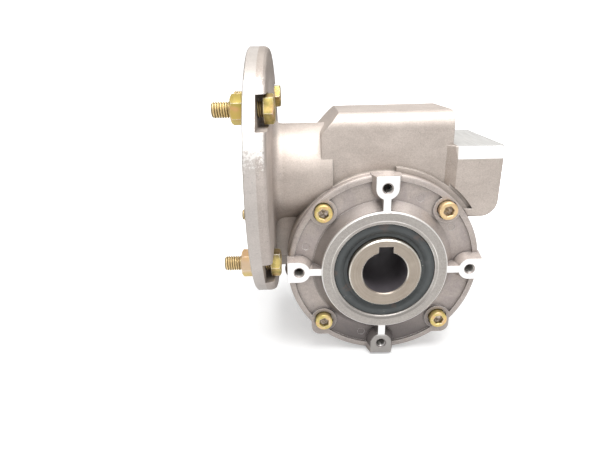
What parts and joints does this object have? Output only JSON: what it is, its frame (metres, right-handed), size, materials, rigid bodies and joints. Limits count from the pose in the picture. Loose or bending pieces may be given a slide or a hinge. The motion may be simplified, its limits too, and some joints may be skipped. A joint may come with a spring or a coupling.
{
  "type": "worm gearbox",
  "caption": "Right-angle worm gearbox with a hollow keyed output shaft, a round motor flange and a bolted side cover.",
  "frame": {"origin": "centre of the hollow output shaft, on its axis and at the middle of its length", "axes": "+Y along the output shaft, away from the cover side; -X towards the motor flange, parallel to the worm axis; +Z from the output axis up to the worm axis"},
  "size_m": [0.15, 0.14, 0.1745],
  "materials": {
    "cast_aluminium": "as-cast, fine grain, matt",
    "cover_aluminium": "die cast with machined ring, ribs and bosses",
    "zinc_yellow": "yellow chromated zinc plating on steel",
    "seal_rubber": "moulded nitrile rubber",
    "shaft_steel": "turned and ground",
    "worm_steel": "case hardened and ground",
    "wheel_bronze": "hobbed bronze",
    "bearing_steel": "ground bearing steel",
    "cage_steel": "pressed steel",
    "spring_steel": "phosphated spring steel"
  },
  "bodies": {
    "gearcase": {"housing": "cast_aluminium", "front_cover": "cover_aluminium", "cover_oring": "seal_rubber", "front_cover_screws": "zinc_yellow", "front_oil_seal": "seal_rubber", "rear_oil_seal": "seal_rubber", "input_oil_seal": "seal_rubber", "input_circlip": "spring_steel", "front_shim": "bearing_steel", "rear_shim": "bearing_steel", "front_bearing_outer_ring": "bearing_steel", "rear_bearing_outer_ring": "bearing_steel", "input_bearing_outer_ring": "bearing_steel", "tail_bearing_outer_ring": "bearing_steel", "motor_bolts": "zinc_yellow", "motor_nuts": "zinc_yellow"},
    "output": {"hollow_shaft": "shaft_steel", "worm_wheel": "wheel_bronze", "front_bearing_inner_ring": "bearing_steel", "rear_bearing_inner_ring": "bearing_steel"},
    "worm": {"worm_shaft": "worm_steel", "input_bearing_inner_ring": "bearing_steel", "tail_bearing_inner_ring": "bearing_steel", "input_shaft_circlip": "spring_steel", "tail_shaft_circlip": "spring_steel"},
    "front_cage_set": {"front_bearing_cage": "cage_steel", "front_bearing_balls": "bearing_steel"},
    "rear_cage_set": {"rear_bearing_cage": "cage_steel", "rear_bearing_balls": "bearing_steel"},
    "input_cage_set": {"input_bearing_cage": "cage_steel", "input_bearing_balls": "bearing_steel"},
    "tail_cage_set": {"tail_bearing_cage": "cage_steel", "tail_bearing_balls": "bearing_steel"}
  },
  "joints": [
    {"name": "output_spin", "type": "hinge", "parent": "gearcase", "child": "output", "pos_m": [0, 0, 0], "axis": [0, 1, 0], "continuous": true},
    {"name": "worm_spin", "type": "hinge", "parent": "gearcase", "child": "worm", "pos_m": [0, 0, 0.049], "axis": [1, 0, 0], "continuous": true},
    {"name": "front_cage_spin", "type": "hinge", "parent": "gearcase", "child": "front_cage_set", "pos_m": [0, -0.022, 0], "axis": [0, 1, 0], "continuous": true},
    {"name": "rear_cage_spin", "type": "hinge", "parent": "gearcase", "child": "rear_cage_set", "pos_m": [0, 0.022, 0], "axis": [0, 1, 0], "continuous": true},
    {"name": "input_cage_spin", "type": "hinge", "parent": "gearcase", "child": "input_cage_set", "pos_m": [-0.05, 0, 0.049], "axis": [1, 0, 0], "continuous": true},
    {"name": "tail_cage_spin", "type": "hinge", "parent": "gearcase", "child": "tail_cage_set", "pos_m": [0.0275, 0, 0.049], "axis": [1, 0, 0], "continuous": true}
  ],
  "couplings": [
    {"joint": "worm_spin", "follows": "output_spin", "ratio": -36},
    {"joint": "front_cage_spin", "follows": "output_spin", "ratio": 0.42685},
    {"joint": "rear_cage_spin", "follows": "output_spin", "ratio": 0.42685},
    {"joint": "input_cage_spin", "follows": "output_spin", "ratio": -14.83},
    {"joint": "tail_cage_spin", "follows": "output_spin", "ratio": -13.709}
  ]
}
